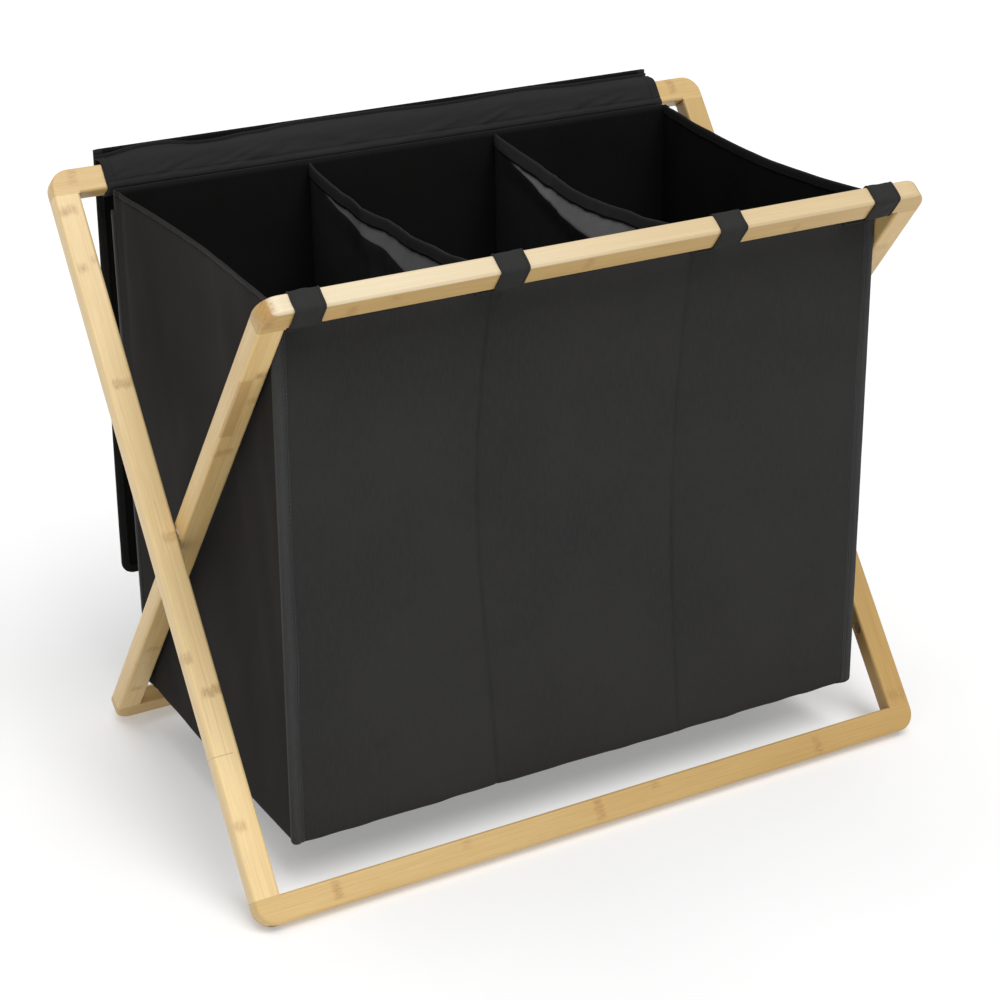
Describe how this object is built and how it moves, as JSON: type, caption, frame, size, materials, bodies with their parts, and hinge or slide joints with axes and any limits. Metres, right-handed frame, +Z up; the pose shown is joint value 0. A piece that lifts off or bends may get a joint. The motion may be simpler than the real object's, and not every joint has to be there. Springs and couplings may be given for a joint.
{
  "type": "laundry sorter",
  "caption": "Folding laundry sorter: a black fabric bag with three compartments and a hanging lid flap, carried by two crossed bamboo frames that pivot at mid-height.",
  "frame": {"origin": "on the floor, midway between the front and the back rails and in the middle of the width", "axes": "+Z up, +X along the rails to the right as seen from the front, the front faces -Y"},
  "size_m": [0.72, 0.4519, 0.596],
  "materials": {
    "bamboo": "laminated bamboo, sanded and satin lacquered, pale yellow with darker node bands",
    "zinc_steel": "zinc-plated steel fasteners",
    "black_polyester": "smooth charcoal-black woven polyester with a faint sheen",
    "grey_lining": "thin dark grey polyester, slightly wrinkled",
    "black_tape": "black ribbed binding tape, stitched along both edges"
  },
  "bodies": {
    "pivot": {"pivot_bolts": "zinc_steel", "pivot_nuts": "zinc_steel", "spacer_washers": "zinc_steel"},
    "outer_frame": {"outer_left_rail": "bamboo", "outer_right_rail": "bamboo", "outer_top_rail": "bamboo", "outer_bottom_rail": "bamboo", "outer_joint_bolts": "zinc_steel", "outer_cross_dowels": "zinc_steel", "outer_wood_dowels": "bamboo", "pivot_plugs": "bamboo", "back_sleeve": "black_polyester"},
    "inner_frame": {"inner_left_rail": "bamboo", "inner_right_rail": "bamboo", "inner_top_rail": "bamboo", "inner_bottom_rail": "bamboo", "inner_joint_bolts": "zinc_steel", "inner_cross_dowels": "zinc_steel", "inner_wood_dowels": "bamboo", "front_loops": "black_polyester"},
    "bag": {"bag_front_panel": "black_polyester", "bag_back_panel": "black_polyester", "bag_left_panel": "black_polyester", "bag_right_panel": "black_polyester", "bag_bottom_panel": "black_polyester", "left_divider": "grey_lining", "right_divider": "grey_lining", "divider_bindings": "black_tape", "side_rim_bindings": "black_tape", "front_corner_bindings": "black_tape", "back_corner_bindings": "black_tape"},
    "lid_seam": {"lid_seam_strip": "black_tape"},
    "lid": {"lid_panel": "black_polyester", "lid_binding": "black_tape"}
  },
  "joints": [
    {"name": "fold", "type": "hinge", "parent": "pivot", "child": "outer_frame", "pos_m": [0, 0, 0.29246], "axis": [1, 0, 0], "range_deg": [0, 32], "deforming": ["bag_front_panel", "bag_back_panel", "bag_left_panel", "bag_right_panel", "bag_bottom_panel", "left_divider", "right_divider", "divider_bindings", "side_rim_bindings", "front_corner_bindings", "back_corner_bindings"]},
    {"name": "inner_fold", "type": "hinge", "parent": "pivot", "child": "inner_frame", "pos_m": [0, 0, 0.29246], "axis": [1, 0, 0], "range_deg": [-32, 0]},
    {"name": "bag_rise", "type": "slide", "parent": "pivot", "child": "bag", "axis": [0, 0, 1], "range_m": [0, 0.0606]},
    {"name": "lid_level", "type": "hinge", "parent": "outer_frame", "child": "lid_seam", "pos_m": [0, 0.2256, 0.571], "axis": [1, 0, 0], "range_deg": [-32, 0]},
    {"name": "lid_flip", "type": "hinge", "parent": "lid_seam", "child": "lid", "pos_m": [0, 0.2256, 0.5965], "axis": [1, 0, 0], "range_deg": [0, 270]}
  ],
  "couplings": [
    {"joint": "inner_fold", "follows": "fold", "ratio": -1},
    {"joint": "bag_rise", "follows": "fold", "m_per_rad": 0.1085},
    {"joint": "lid_level", "follows": "fold", "ratio": -1}
  ]
}
